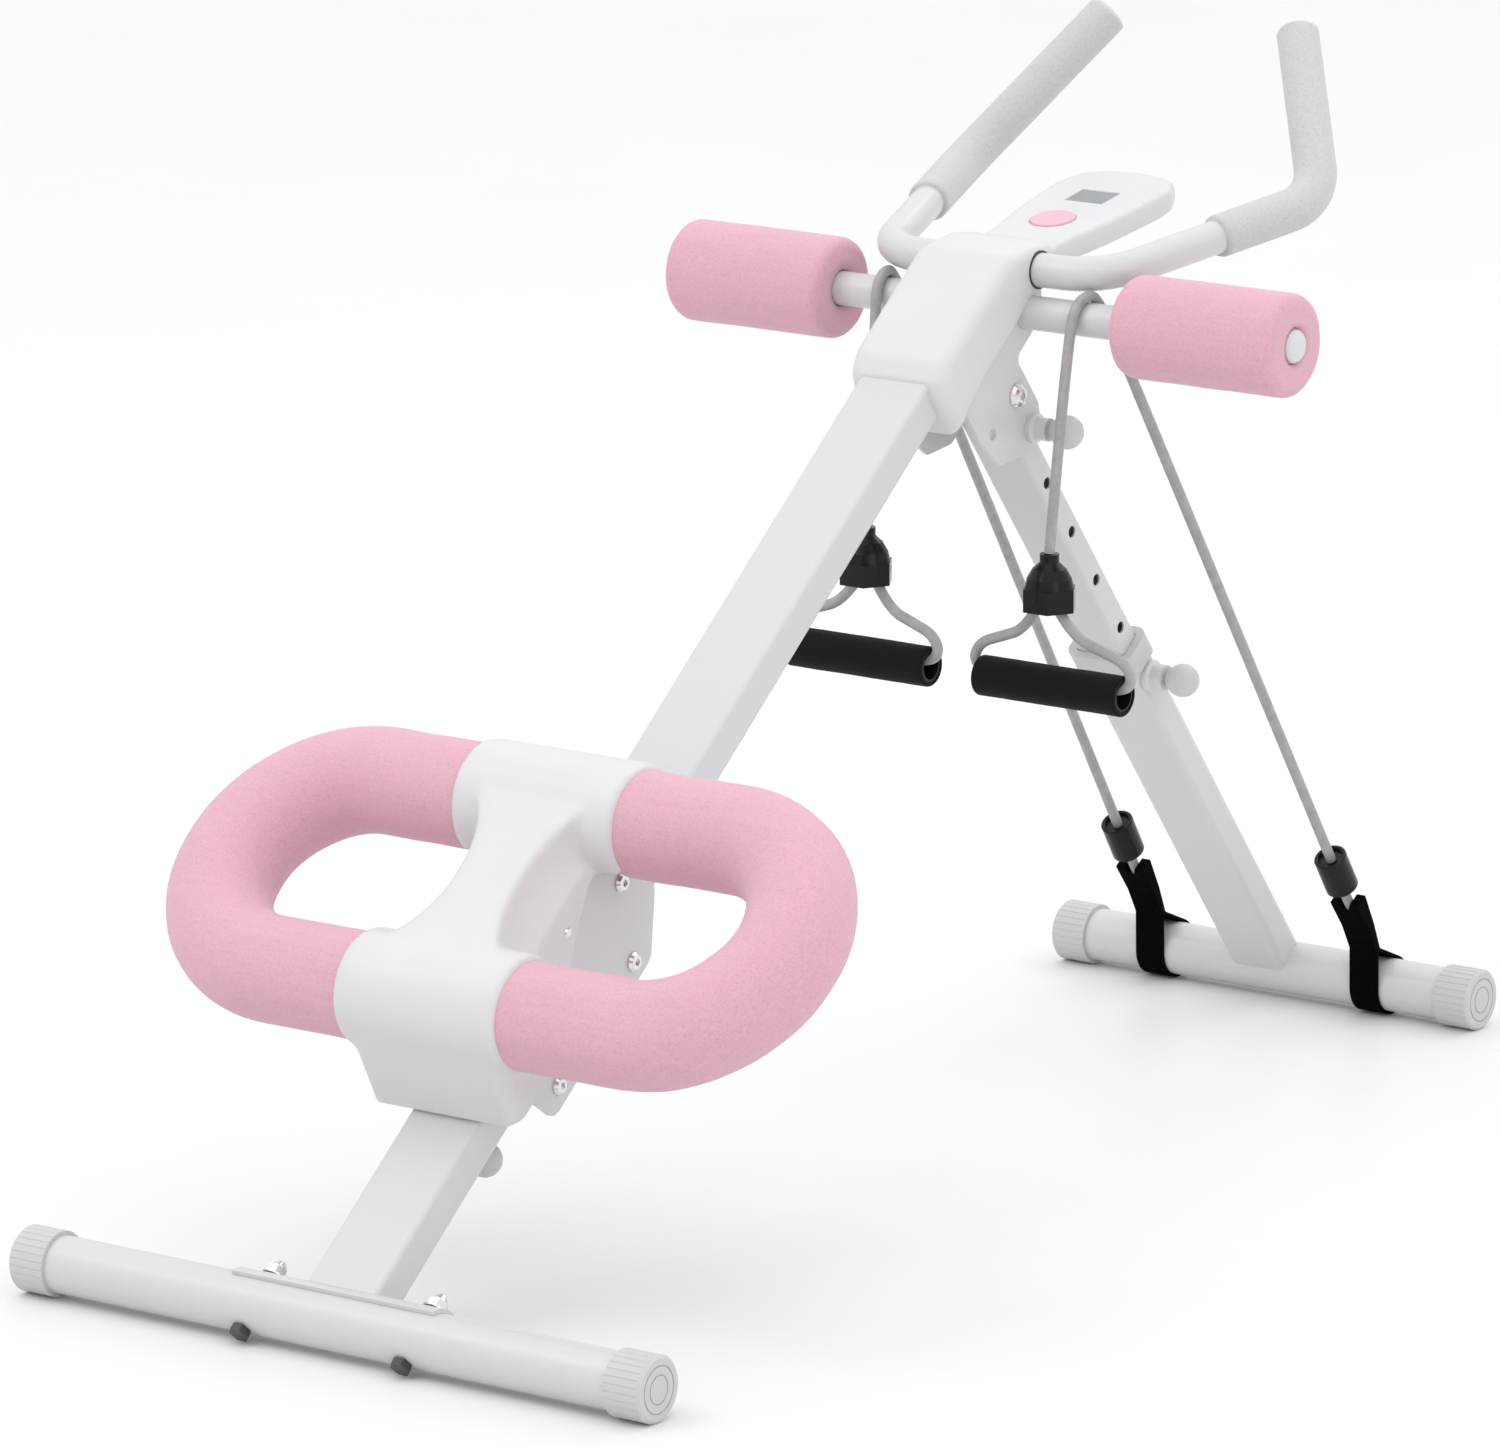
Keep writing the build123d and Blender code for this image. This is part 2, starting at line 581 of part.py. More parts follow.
with BuildPart() as knee_tubes:
    add(loop_tube(10, BAR_R, BAR_R - WALL))
    mirror(about=Plane.YZ)
keep(knee_tubes, "knee_tubes")

with BuildPart() as right_knee_foam:
    add(loop_tube(KNEE_FOAM_IN, KNEE_FOAM_R, BAR_R + 0.02))
keep(right_knee_foam, "right_knee_foam")

with BuildPart() as left_knee_foam:
    add(mirror(right_knee_foam.part, about=Plane.YZ))
keep(left_knee_foam, "left_knee_foam")

# The carriage cover: a saddle-shaped shell, wide over the arms and narrow between them.
SOCKET_R = 42.0
SOCKET_HALF = 68.0
WAIST_HALF = 43.0
NOSE_HALF = 64.0
COVER_T = 3.0
COVER_SCREW = (308.0, 57.0)


def cover_body(inset):
    """The cover's solid form, smaller by inset all round."""
    with BuildPart() as body:
        for s in ARM_S:
            with BuildSketch(across(0, s, ARM_H)):
                Circle(SOCKET_R - inset)
            extrude(amount=SOCKET_HALF - inset * 2 / 3, both=True)
        with BuildSketch(SIDE):
            with BuildLine():
                Polyline((ARM_S[0], ARM_H + SOCKET_R - inset), (LOOP_S, ARM_H + 36 - inset),
                         (ARM_S[1], ARM_H + SOCKET_R - inset), (ARM_S[1], -40), (ARM_S[0], -40), close=True)
            make_face()
        extrude(amount=WAIST_HALF - inset, both=True)
        with BuildSketch(SIDE):
            with BuildLine():
                Polyline((168 + inset, 17), (182 + inset, ARM_H + 12), (ARM_S[0] + 38, ARM_H),
                         (ARM_S[0] + 34, -40), (168 + inset, -40), close=True)
            make_face()
        extrude(amount=NOSE_HALF - inset, both=True)
    return body.part


with BuildPart() as carriage_cover:
    add(cover_body(0))
    add(cover_body(COVER_T), mode=Mode.SUBTRACT)
    with BuildSketch(SIDE):
        with BuildLine():
            Polyline((150, 17.5), (252, 20), (300, 40), (345, 70), (450, 70), (450, -60), (150, -60),
                     close=True)
        make_face()
    extrude(amount=90, both=True, mode=Mode.SUBTRACT)
    for s in ARM_S:
        with BuildSketch(across(0, s, ARM_H)):
            Circle(KNEE_FOAM_R + 0.6)
        extrude(amount=90, both=True, mode=Mode.SUBTRACT)
    with BuildSketch(across(0, *COVER_SCREW)):
        Circle(2.0)
    extrude(amount=90, both=True, mode=Mode.SUBTRACT)
keep(carriage_cover, "carriage_cover")


def cover_screw(side):
    """A pan-headed screw that holds the cover's side to the carriage frame."""
    return turned(across(side * WAIST_HALF, *COVER_SCREW, side),
                  [(0, -5), (1.9, -5), (1.9, 0.1), (4.2, 0.1), (4.0, 1.2), (2.8, 2.3), (0, 2.7)])


group("cover_screws", [cover_screw(side) for side in (-1, 1)])

# The head casing with the console's upper half, and the console's lower half.
CONSOLE = Plane(origin=(0, 276.8, 655.9), x_dir=(1, 0, 0),
                z_dir=(0, -sin(radians(CONSOLE_TILT)), cos(radians(CONSOLE_TILT))))
CONSOLE_FRONT = -74.0
CONSOLE_EDGE = [(36, -30), (48, 54), (50, 84), (42, 109)]
CASING_PROFILE = [(853, -27), (851, 4), (866, 24), (978, 24), (1010, 5), (1027, -13), (1007, -35), (986, -27)]
BUTTON_R = 17.0
DISPLAY = (33.0, 26.0)
DISPLAY_T = 53.0


def console_outline(plane, inset, front):
    """The console's plan shape, with a slightly curved far edge."""
    with BuildSketch(plane) as plan:
        with BuildLine():
            right = [(34 - inset, front)] + [(x - inset, t - inset * (t > 90)) for x, t in CONSOLE_EDGE]
            left = [(-x, t) for x, t in reversed(right)]
            Polyline(*left)
            Polyline(*right)
            ThreePointArc(right[-1], (0, 117 - inset), left[0])
            Line(left[-1], right[0])
        make_face()
    return plan.sketch


def casing_profile(inset):
    """The head casing's side profile."""
    with BuildSketch(SIDE) as profile:
        with BuildLine():
            Polyline(*CASING_PROFILE, close=True)
        make_face()
        if inset:
            offset(amount=-inset, kind=Kind.INTERSECTION)
    return profile.sketch


with BuildPart() as casing_core:
    extrude(casing_profile(CASING_T), amount=CASING_HALF - CASING_T, both=True)
    with BuildSketch(SIDE):
        with BuildLine():
            Polyline((856, -15), (1002, -15), (1000, -60), (856, -60), close=True)
        make_face()
    extrude(amount=CASING_HALF - CASING_T, both=True)

with BuildPart() as head_casing:
    extrude(casing_profile(0), amount=CASING_HALF, both=True)
    top_edges = [e for e in head_casing.edges()
                 if abs(abs(e.center().X) - CASING_HALF) < 0.1 and (e.center() - FRONT_AXIS).dot(RAIL_UP) > -10]
    fillet(top_edges, radius=8)
    extrude(console_outline(CONSOLE, 0, CONSOLE_FRONT), amount=-CONSOLE_DEPTH / 2)
    extrude(console_outline(CONSOLE.offset(-2.5), 2.5, -20), amount=-CONSOLE_DEPTH / 2, mode=Mode.SUBTRACT)
    add(casing_core.part, mode=Mode.SUBTRACT)
    with BuildSketch(END.offset(840)):
        Rectangle(RAIL_WIDTH + 0.6, RAIL_DEPTH + 0.6)
        with Locations((0, -RAIL_DEPTH)):
            Rectangle(RAIL_WIDTH + 0.6, RAIL_DEPTH + 0.6)
    extrude(amount=30, mode=Mode.SUBTRACT)
    with BuildSketch(across(0, BAR_S, BAR_H)):
        Circle(BAR_R + 1.6)
    extrude(amount=90, both=True, mode=Mode.SUBTRACT)
    with BuildSketch(across(0, CROSS_S, CROSS_H)):
        Circle(BAR_R + 0.6)
    extrude(amount=90, both=True, mode=Mode.SUBTRACT)
    with BuildSketch(CONSOLE.offset(1)):
        Circle(BUTTON_R + 0.4)
        with Locations((0, DISPLAY_T)):
            Rectangle(*DISPLAY)
    extrude(amount=-6, mode=Mode.SUBTRACT)
keep(head_casing, "head_casing")

with BuildPart() as console_underside:
    extrude(console_outline(CONSOLE.offset(-CONSOLE_DEPTH / 2 - 0.05), 0, -44), amount=-CONSOLE_DEPTH / 2)
    extrude(console_outline(CONSOLE.offset(-CONSOLE_DEPTH / 2), 2.5, -40), amount=2.5 - CONSOLE_DEPTH / 2,
            mode=Mode.SUBTRACT)
keep(console_underside, "console_underside")

with BuildPart() as console_display:
    with BuildSketch(CONSOLE.offset(-0.6)):
        with Locations((0, DISPLAY_T)):
            Rectangle(DISPLAY[0] - 0.3, DISPLAY[1] - 0.3)
    extrude(amount=-2.4)
keep(console_display, "console_display")

with BuildPart() as console_button:
    with BuildSketch(CONSOLE.offset(-4.5)):
        Circle(BUTTON_R)
    extrude(amount=5.7)
    fillet(console_button.faces().sort_by(Axis(CONSOLE.origin, CONSOLE.z_dir))[-1].edges(), radius=1)
keep(console_button, "console_button")

with BuildPart() as console_board:
    with BuildSketch(CONSOLE.offset(-8.5)):
        with Locations((0, 34)):
            Rectangle(60, 92)
    extrude(amount=-1.6)
keep(console_board, "console_board")

with BuildPart() as console_battery:
    with BuildSketch(CONSOLE.offset(-10.2)):
        with Locations((0, 60)):
            Circle(10.0)
    extrude(amount=-3.2)
keep(console_battery, "console_battery")

group("bar_grommets", [
    turned(across(side * CASING_HALF, BAR_S, BAR_H, side),
           [(BAR_R + 0.1, -4), (BAR_R + 1.5, -4), (BAR_R + 1.5, 0.6), (BAR_R + 0.1, 0.6)])
    for side in (-1, 1)])

# The resistance bands: a cord over the cross tube, a handle in front and an anchor strap behind.
BAND = [(81, 153.6, 436), (82, 162, 510), (85, 170.6, 589), (86.5, 174.9, 612.8), (88, 186.8, 621.6),
        (89.98, 201.4, 619), (90.5, 225, 583.2)]
BAND_UPPER = [(90.5, 225, 583.2), (93.5, 360, 378.5)]
BAND_LOWER = [(93.5, 360, 378.5), (97.75, 551, 88.86)]
HANDLE_CORD = [(71, 153.6, 395), (60, 153.6, 377), (39, 153.6, 369), (22, 153.6, 363), (15, 153.6, 351),
               (22, 153.6, 342), (54, 153.6, 341), (115, 153.6, 341), (147, 153.6, 342),
               (154, 153.6, 351), (147, 153.6, 363), (127, 153.6, 369), (102, 153.6, 377), (89, 153.6, 395)]


def mirrored(points, side):
    """The same route on one side or the other."""
    return [(side * x, y, z) for x, y, z in points]


for side, hand in ((-1, "left"), (1, "right")):
    cord(f"{hand}_band_cord", mirrored(BAND, side))
    cord(f"{hand}_band_cord_upper", mirrored(BAND_UPPER, side))
    cord(f"{hand}_band_cord_lower", mirrored(BAND_LOWER, side))
    cord(f"{hand}_handle_cord", mirrored(HANDLE_CORD, side))


def band_cup(side):
    """The cup that joins a band to its handle cord: a neck, a dome and a hexagonal skirt."""
    top = Plane(origin=(side * 81, 153.6, 436), x_dir=(1, 0, 0), z_dir=(0, 0, 1))
    with BuildPart() as cup:
        add(turned(top, [(0, -34), (18.6, -34), (18.6, -26), (16.5, -18), (12.5, -11), (8.5, -7.5),
                         (7.2, -6), (7.2, -0.05), (0, -0.05)]))
        with BuildSketch(top.offset(-42)):
            RegularPolygon(radius=18.4, side_count=6, major_radius=False)
        extrude(amount=17)
    return cup.part


group("band_cups", [band_cup(side) for side in (-1, 1)])

group("band_grips", [
    turned(Plane(origin=(side * GRIP_X, GRIP_Y, GRIP_Z), x_dir=(0, 1, 0), z_dir=(1, 0, 0)),
           [(11.5, -GRIP_HALF), (BAND_GRIP_R - 1.5, -GRIP_HALF), (BAND_GRIP_R, 1.5 - GRIP_HALF),
            (BAND_GRIP_R, GRIP_HALF - 1.5), (BAND_GRIP_R - 1.5, GRIP_HALF), (11.5, GRIP_HALF)])
    for side in (-1, 1)])

group("grip_liners", [
    turned(Plane(origin=(side * GRIP_X, GRIP_Y, GRIP_Z), x_dir=(0, 1, 0), z_dir=(1, 0, 0)),
           [(BAND_BORE_R, -GRIP_HALF + 0.5), (11.45, -GRIP_HALF + 0.5), (11.45, GRIP_HALF - 0.5),
            (BAND_BORE_R, GRIP_HALF - 0.5)])
    for side in (-1, 1)])

CORD_END = Vector(*BAND_LOWER[1])
CORD_DIR = (CORD_END - Vector(*BAND_LOWER[0])).normalized()
BARREL_LENGTH = 34.0
BARREL_R = 12.8
BARREL_UP = 59.0


def band_barrel(side):
    """The barrel that grips a band near its lower end, with a hollow in its top."""
    direction = Vector(side * CORD_DIR.X, CORD_DIR.Y, CORD_DIR.Z)
    start = Vector(side * CORD_END.X, CORD_END.Y, CORD_END.Z) - direction * BARREL_UP
    square = Vector(1, 0, 0) - direction * direction.X
    bore = CORD_R + 0.4
    return turned(Plane(origin=start, x_dir=square, z_dir=direction),
                  [(bore, 3.2), (8.8, 3.2), (9.8, 0.6), (10.4, 0), (11.8, 0), (BARREL_R, 1),
                   (BARREL_R, BARREL_LENGTH - 2), (BARREL_R - 2, BARREL_LENGTH), (bore, BARREL_LENGTH)])


group("band_barrels", [band_barrel(side) for side in (-1, 1)])

STRAP_TOP = (543.9, 99.6)
STRAP_BEND = (559.3, 76.3)
STRAP_JOIN = (570.0, 55.0)
STRAP_NOTCH = (13.0, 9.0)


def strap_tab(points, half):
    """The outline of the strap's two joined layers, half to each side of a line of points."""
    left, right = [], []
    for index, (y, z) in enumerate(points):
        before = points[max(index - 1, 0)]
        after = points[min(index + 1, len(points) - 1)]
        run = (Vector(*after, 0) - Vector(*before, 0)).normalized()
        left.append((y - run.Y * half[index], z + run.X * half[index]))
        right.append((y + run.Y * half[index], z - run.X * half[index]))
    return left + right[::-1]


def strap_loop(x):
    """A webbing strap round the rear floor tube, its ends sewn together round the cord's stub."""
    plane = Plane(origin=(x, 0, 0), x_dir=(0, 1, 0), z_dir=(1, 0, 0))
    ring = FLOOR_TUBE_R + 0.3
    with BuildSketch(plane) as outer:
        with Locations((REAR_Y, CAP_R)):
            Circle(ring + STRAP_T)
        with Locations(STRAP_JOIN):
            Circle(STRAP_T + 0.2)
        make_hull()
    with BuildSketch(plane) as inner:
        with Locations((REAR_Y, CAP_R)):
            Circle(ring)
        with Locations(STRAP_JOIN):
            Circle(0.2)
        make_hull()
    with BuildSketch(plane) as tab:
        with BuildLine():
            Polyline(*strap_tab([STRAP_TOP, STRAP_BEND, STRAP_JOIN], [6.2, 3.7, 2.3]), close=True)
        make_face()
    side = 1 if x > 0 else -1
    direction = Vector(side * CORD_DIR.X, CORD_DIR.Y, CORD_DIR.Z)
    middle = Vector(side * CORD_END.X, CORD_END.Y, CORD_END.Z)
    end = Plane(origin=middle, x_dir=direction.cross(Vector(0, 1, 0)), z_dir=direction)
    face = Plane(origin=(x, *STRAP_TOP), x_dir=(1, 0, 0), z_dir=(0, -CORD_DIR.Z, CORD_DIR.Y))
    with BuildPart() as strap:
        extrude(outer.sketch, amount=STRAP_WIDTH / 2, both=True)
        extrude(inner.sketch, amount=STRAP_WIDTH / 2, both=True, mode=Mode.SUBTRACT)
        extrude(tab.sketch, amount=STRAP_WIDTH / 2, both=True)
        with BuildSketch(end.offset(0.4)):
            Circle(CORD_R + 0.4)
        extrude(amount=-40, mode=Mode.SUBTRACT)
        with BuildSketch(face):
            with BuildLine():
                Polyline((-STRAP_NOTCH[0] / 2, -3), (STRAP_NOTCH[0] / 2, -3), (0, STRAP_NOTCH[1]), close=True)
            make_face()
        extrude(amount=12, both=True, mode=Mode.SUBTRACT)
    return strap.part


group("band_straps", [strap_loop(side * STRAP_X) for side in (-1, 1)])
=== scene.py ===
import json
import math

import bmesh
import bpy
from mathutils import Matrix, Vector, noise


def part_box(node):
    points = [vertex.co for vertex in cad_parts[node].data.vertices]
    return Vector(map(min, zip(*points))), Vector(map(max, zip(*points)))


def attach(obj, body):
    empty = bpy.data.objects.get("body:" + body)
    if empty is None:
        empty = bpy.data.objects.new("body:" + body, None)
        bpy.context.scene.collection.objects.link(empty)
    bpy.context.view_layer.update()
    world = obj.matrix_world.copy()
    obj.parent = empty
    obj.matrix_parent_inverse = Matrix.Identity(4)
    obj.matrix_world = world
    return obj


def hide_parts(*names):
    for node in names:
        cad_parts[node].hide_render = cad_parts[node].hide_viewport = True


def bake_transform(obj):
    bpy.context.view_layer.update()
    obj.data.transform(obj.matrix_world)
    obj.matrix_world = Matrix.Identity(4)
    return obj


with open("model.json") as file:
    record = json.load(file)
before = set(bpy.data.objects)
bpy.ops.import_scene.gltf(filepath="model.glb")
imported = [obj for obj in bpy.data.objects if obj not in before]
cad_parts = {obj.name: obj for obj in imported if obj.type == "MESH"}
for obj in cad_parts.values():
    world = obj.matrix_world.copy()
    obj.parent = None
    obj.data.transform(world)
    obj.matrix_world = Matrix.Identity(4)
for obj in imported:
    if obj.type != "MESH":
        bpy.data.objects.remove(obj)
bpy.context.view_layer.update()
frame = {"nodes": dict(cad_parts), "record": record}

scene = bpy.context.scene

# ---------------------------------------------------------------- the CAD frame, in metres
MM = 0.001
joints = {joint["name"]: joint for joint in frame["record"]["behaviour"]["joints"]}
UP_RAIL = Vector(joints["carriage_travel"]["axis"]).normalized()
OFF_RAIL = Vector(joints["leg_extension"]["axis"]).normalized()
ACROSS = Vector((1, 0, 0))


def centre(node):
    """The middle of a CAD node's box."""
    low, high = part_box(node)
    return (low + high) / 2


FRONT_AXIS = centre("front_floor_tube")
CROSS_AXIS = centre("cross_tube")


def rail(x, s, h):
    """A point x across, s up the rail and h off the rail's axis, from millimetres."""
    return FRONT_AXIS + ACROSS * (x * MM) + UP_RAIL * (s * MM) + OFF_RAIL * (h * MM)


# ---------------------------------------------------------------- the camera
camera = bpy.data.objects.new("camera", bpy.data.cameras.new("camera"))
scene.collection.objects.link(camera)
camera.location = (3.8242, -5.4890, 1.8894)
aim = Vector((-0.000342, -0.106967, 0.347912)) - camera.location
camera.rotation_euler = aim.to_track_quat("-Z", "Y").to_euler()
camera.data.sensor_width = 36.0
camera.data.lens = 229.0
camera.data.clip_end = 60.0
scene.camera = camera

# ---------------------------------------------------------------- materials


class Nodes:
    """A material's node tree, with short ways to add and join nodes."""

    def __init__(self, name):
        self.material = bpy.data.materials.new(name)
        self.material.use_nodes = True
        self.tree = self.material.node_tree
        self.shader = self.tree.nodes["Principled BSDF"]
        self.place = self.add("ShaderNodeTexCoord").outputs["Object"]
        self.height = None

    def add(self, kind, **values):
        node = self.tree.nodes.new(kind)
        for key, value in values.items():
            setattr(node, key, value)
        return node

    def link(self, output, socket):
        self.tree.links.new(output, socket)

    def stretched(self, scale):
        """The object's coordinates, scaled differently along each axis."""
        mapping = self.add("ShaderNodeMapping")
        mapping.inputs["Scale"].default_value = scale
        self.link(self.place, mapping.inputs["Vector"])
        return mapping.outputs["Vector"]

    def noise(self, scale, detail=3.0, rough=0.55, place=None):
        node = self.add("ShaderNodeTexNoise")
        node.inputs["Scale"].default_value = scale
        node.inputs["Detail"].default_value = detail
        node.inputs["Roughness"].default_value = rough
        self.link(place or self.place, node.inputs["Vector"])
        return node.outputs["Fac"]

    def cells(self, scale):
        node = self.add("ShaderNodeTexVoronoi")
        node.inputs["Scale"].default_value = scale
        self.link(self.place, node.inputs["Vector"])
        return node.outputs["Distance"]

    def ramp(self, source, stops):
        """A colour ramp from (position, colour) stops."""
        node = self.add("ShaderNodeValToRGB")
        elements = node.color_ramp.elements
        while len(elements) < len(stops):
            elements.new(0.5)
        for element, (position, colour) in zip(elements, stops):
            element.position = position
            element.color = (*colour, 1.0)
        self.link(source, node.inputs["Fac"])
        return node.outputs["Color"]

    def spread(self, source, low, high):
        """A number that runs from low to high over the middle of the source's range."""
        node = self.add("ShaderNodeMapRange")
        for socket, value in (("From Min", 0.3), ("From Max", 0.7), ("To Min", low), ("To Max", high)):
            node.inputs[socket].default_value = value
        self.link(source, node.inputs["Value"])
        return node.outputs["Result"]

    def bump(self, height, strength, distance):
        """Another layer of bump over those before it."""
        node = self.add("ShaderNodeBump")
        node.inputs["Strength"].default_value = strength
        node.inputs["Distance"].default_value = distance
        self.link(height, node.inputs["Height"])
        if self.height is not None:
            self.link(self.height, node.inputs["Normal"])
        self.height = node.outputs["Normal"]

    def done(self, **values):
        """Set the shader's own sockets and join the bump to it."""
        for key, value in values.items():
            self.shader.inputs[key.replace("_", " ")].default_value = value
        if self.height is not None:
            self.link(self.height, self.shader.inputs["Normal"])
        return self.material


def shade(colour, factor):
    """A lighter or darker form of a colour."""
    return tuple(min(1.0, c * factor) for c in colour)


def painted(name, colour, rough=0.34, coat=0.2):
    """Powder coat: a faint orange peel under a clear gloss, with slight handling marks."""
    m = Nodes(name)
    m.link(m.ramp(m.noise(9, 3), [(0.3, shade(colour, 0.985)), (0.7, colour)]),
           m.shader.inputs["Base Color"])
    m.link(m.spread(m.noise(240, 3), rough - 0.01, rough + 0.015), m.shader.inputs["Roughness"])
    m.bump(m.noise(520, 2), 0.03, 0.0001)
    return m.done(Coat_Weight=coat, Coat_Roughness=0.15)


def moulded(name, colour, rough=0.42, grain=0.22, scale=1700, coat=0.0, gloss=0.4):
    """Injection-moulded plastic with a fine spark-eroded grain."""
    m = Nodes(name)
    m.link(m.ramp(m.noise(20, 4), [(0.3, shade(colour, 0.98)), (0.7, shade(colour, 1.01))]),
           m.shader.inputs["Base Color"])
    m.link(m.spread(m.noise(90, 4), rough - 0.04, rough + 0.06), m.shader.inputs["Roughness"])
    m.bump(m.noise(scale, 2), grain, 0.00012)
    return m.done(Coat_Weight=coat, Coat_Roughness=0.2, Specular_IOR_Level=gloss)


def foam(name, colour, pore_scale=1100, depth=0.5, streak=0.35, fuzz=0.25):
    """Closed-cell foam: small pores, a pale and dark speckle and faint streaks from its sleeve."""
    m = Nodes(name)
    speckle = m.noise(620, 3, 0.75)
    fleck = m.ramp(speckle, [(0.30, shade(colour, 0.70)), (0.46, shade(colour, 0.96)),
                             (0.60, shade(colour, 1.02)), (0.74, shade(colour, 1.2))])
    band = m.noise(1.0, 4, place=m.stretched((14, 260, 260)))
    drift = m.ramp(band, [(0.3, shade(colour, 0.93)), (0.7, shade(colour, 1.05))])
    mix = m.add("ShaderNodeMix", data_type="RGBA", blend_type="MIX")
    mix.inputs["Factor"].default_value = 0.6
    m.link(drift, mix.inputs["A"])
    m.link(fleck, mix.inputs["B"])
    m.link(mix.outputs["Result"], m.shader.inputs["Base Color"])
    m.link(m.spread(speckle, 0.72, 0.9), m.shader.inputs["Roughness"])
    m.bump(m.cells(pore_scale), depth, 0.0005)
    m.bump(m.noise(620, 4, 0.7), depth, 0.0007)
    m.bump(band, streak, 0.0006)
    return m.done(Sheen_Weight=fuzz, Sheen_Roughness=0.5, Specular_IOR_Level=fuzz)


def metal(name, colour, rough=0.16):
    """Bright plated steel with fine turning marks."""
    m = Nodes(name)
    m.link(m.ramp(m.noise(200, 4), [(0.3, shade(colour, 0.88)), (0.7, colour)]),
           m.shader.inputs["Base Color"])
    m.link(m.spread(m.noise(700, 5), rough - 0.05, rough + 0.12), m.shader.inputs["Roughness"])
    m.bump(m.noise(900, 3), 0.08, 0.0001)
    return m.done(Metallic=1.0)


def cord_skin(name, colour):
    """A latex cord with faint lengthwise drawing lines and a dusting of talc."""
    m = Nodes(name)
    m.link(m.ramp(m.noise(120, 5), [(0.3, shade(colour, 0.86)), (0.7, shade(colour, 1.1))]),
           m.shader.inputs["Base Color"])
    m.link(m.spread(m.noise(300, 4), 0.4, 0.6), m.shader.inputs["Roughness"])
    m.bump(m.noise(1.0, 3, place=m.stretched((2600, 2600, 240))), 0.35, 0.0003)
    return m.done(Sheen_Weight=0.1)


def woven(name, colour):
    """Plain-woven webbing: fine ribs across the strap and along it."""
    m = Nodes(name)
    weft = m.add("ShaderNodeTexWave", bands_direction="Z")
    warp = m.add("ShaderNodeTexWave", bands_direction="X")
    for node, scale in ((weft, 190), (warp, 240)):
        node.inputs["Scale"].default_value = scale
        node.inputs["Distortion"].default_value = 0.4
        m.link(m.place, node.inputs["Vector"])
    both = m.add("ShaderNodeMath", operation="MULTIPLY")
    m.link(weft.outputs["Fac"], both.inputs[0])
    m.link(warp.outputs["Fac"], both.inputs[1])
    m.link(m.ramp(both.outputs[0], [(0.0, shade(colour, 0.5)), (0.8, shade(colour, 2.0))]),
           m.shader.inputs["Base Color"])
    m.bump(both.outputs[0], 0.8, 0.0005)
    m.bump(m.noise(2500, 3), 0.3, 0.0002)
    return m.done(Roughness=0.82, Specular_IOR_Level=0.03)


WHITE = (0.61, 0.61, 0.625)
PLASTIC_WHITE = (0.66, 0.66, 0.67)
GREY = (0.56, 0.56, 0.565)
PINK = (0.71, 0.40, 0.475)
FOAM_GREY = (0.56, 0.56, 0.56)
BLACK = (0.008, 0.008, 0.009)
CORD_GREY = (0.36, 0.35, 0.355)

looks = {
    "white_frame": painted("powder_coat_white", WHITE),
    "white_plastic": moulded("moulded_white", PLASTIC_WHITE, 0.4, 0.14),
    "grey_plastic": moulded("moulded_grey", GREY, 0.45, 0.3),
    "pink_foam": foam("pink_foam", PINK),
    "grey_foam": foam("grey_foam", FOAM_GREY, 1600, 0.22, 0.12),
    "black_foam": foam("black_foam", (0.009, 0.009, 0.010), 1500, 0.4, 0.2, fuzz=0.06),
    "black_plastic": moulded("gloss_black", BLACK, 0.2, 0.05, gloss=0.2),
    "dark_plastic": moulded("wheel_dark", (0.035, 0.035, 0.04), 0.45),
    "black_rubber": moulded("black_rubber", (0.014, 0.014, 0.014), 0.7, 0.5, 900, gloss=0.25),
    "cord_grey": cord_skin("latex_grey", CORD_GREY),
    "webbing": woven("black_webbing", (0.002, 0.002, 0.0022)),
    "bright_steel": metal("plated_steel", (0.80, 0.79, 0.80)),
    "black_steel": painted("blackened_steel", (0.03, 0.03, 0.033), 0.35),
    "display_grey": moulded("display_grey", (0.27, 0.295, 0.31), 0.16, 0.02, coat=0.4),
    "pink_plastic": moulded("button_pink", (0.76, 0.44, 0.53), 0.3, 0.08),
    "board_green": moulded("board_green", (0.06, 0.28, 0.14), 0.4),
    "white_poly": moulded("bush_white", (0.66, 0.66, 0.65), 0.5),
}
slot_of = {part["node"]: part["material_slot"] for part in frame["record"]["subparts"]}
for name, node in frame["nodes"].items():
    node.data.materials.clear()
    node.data.materials.append(looks[slot_of[name]])

# ---------------------------------------------------------------- mesh helpers


def piece(name, mesh, slot, body, *replaced):
    """Put a mesh in the scene with its material, on its body, in place of CAD nodes."""
    made = bpy.data.objects.new(name, mesh)
    scene.collection.objects.link(made)
    mesh.materials.clear()
    mesh.materials.append(looks[slot])
    mesh.shade_smooth()
    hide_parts(*replaced)
    if body:
        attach(made, body)
    return made


def from_bmesh(name, bm):
    """A mesh from bm, with its faces turned outwards. bm is freed."""
    bmesh.ops.recalc_face_normals(bm, faces=bm.faces)
    mesh = bpy.data.meshes.new(name)
    bm.to_mesh(mesh)
    bm.free()
    return mesh


